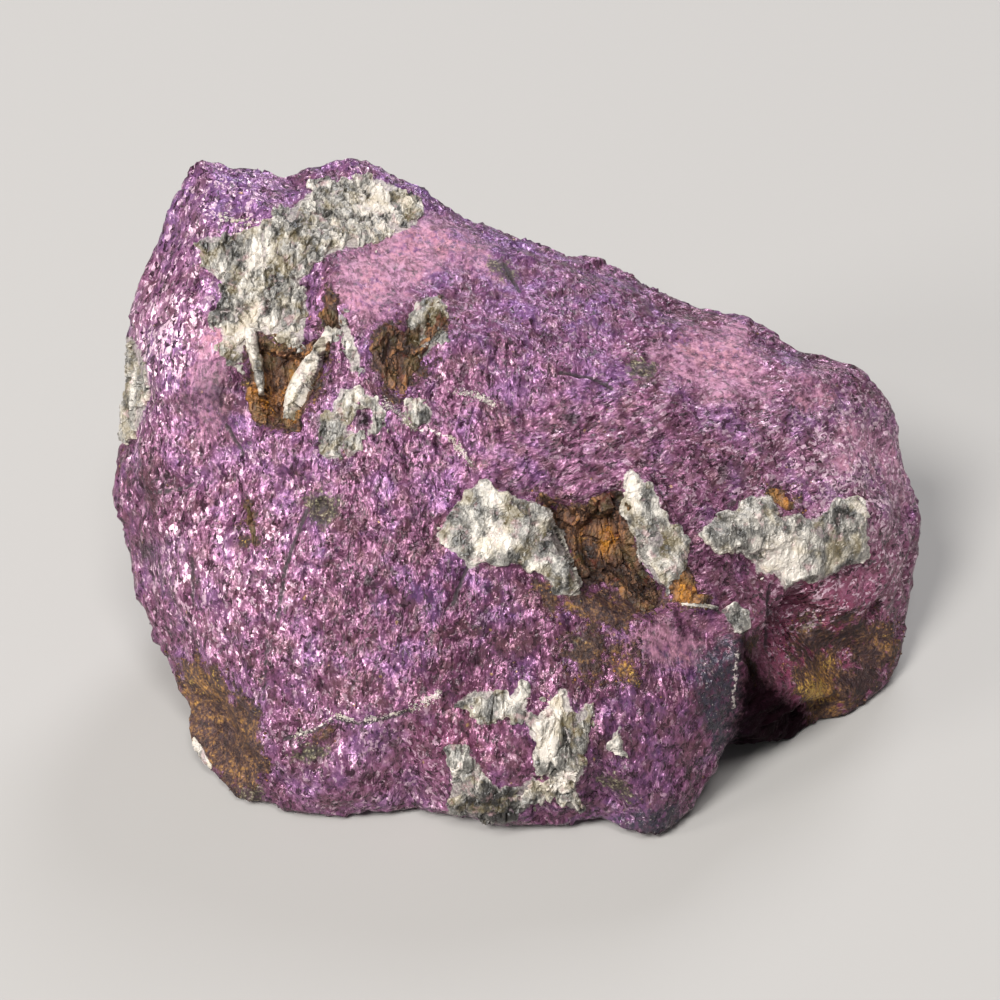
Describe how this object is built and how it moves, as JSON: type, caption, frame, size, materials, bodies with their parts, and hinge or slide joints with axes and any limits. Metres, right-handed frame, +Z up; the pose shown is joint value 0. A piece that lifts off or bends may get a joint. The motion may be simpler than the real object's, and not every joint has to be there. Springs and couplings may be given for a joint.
{
  "type": "purpurite mineral specimen",
  "caption": "Rough hackly lump of purple purpurite with mica crusts, rusty pockets and a deep cleft, flat under its foot so that it rests with its broad face leaning back.",
  "frame": {"origin": "a point of the flat base that the stone rests on, straight below the middle of the broad face", "axes": "+X along the stone's length, to the right as the broad face is seen; +Y away from the viewer, towards the hidden side; +Z up, out of the base"},
  "size_m": [0.0669, 0.0499, 0.0356],
  "materials": {
    "purpurite": "hackly cleavage with a silky to near metallic glint, purple with dull pink patches, grey to white mica crusts and rusty brown pockets"
  },
  "bodies": {
    "root": {"purpurite_stone": "purpurite"}
  },
  "joints": []
}
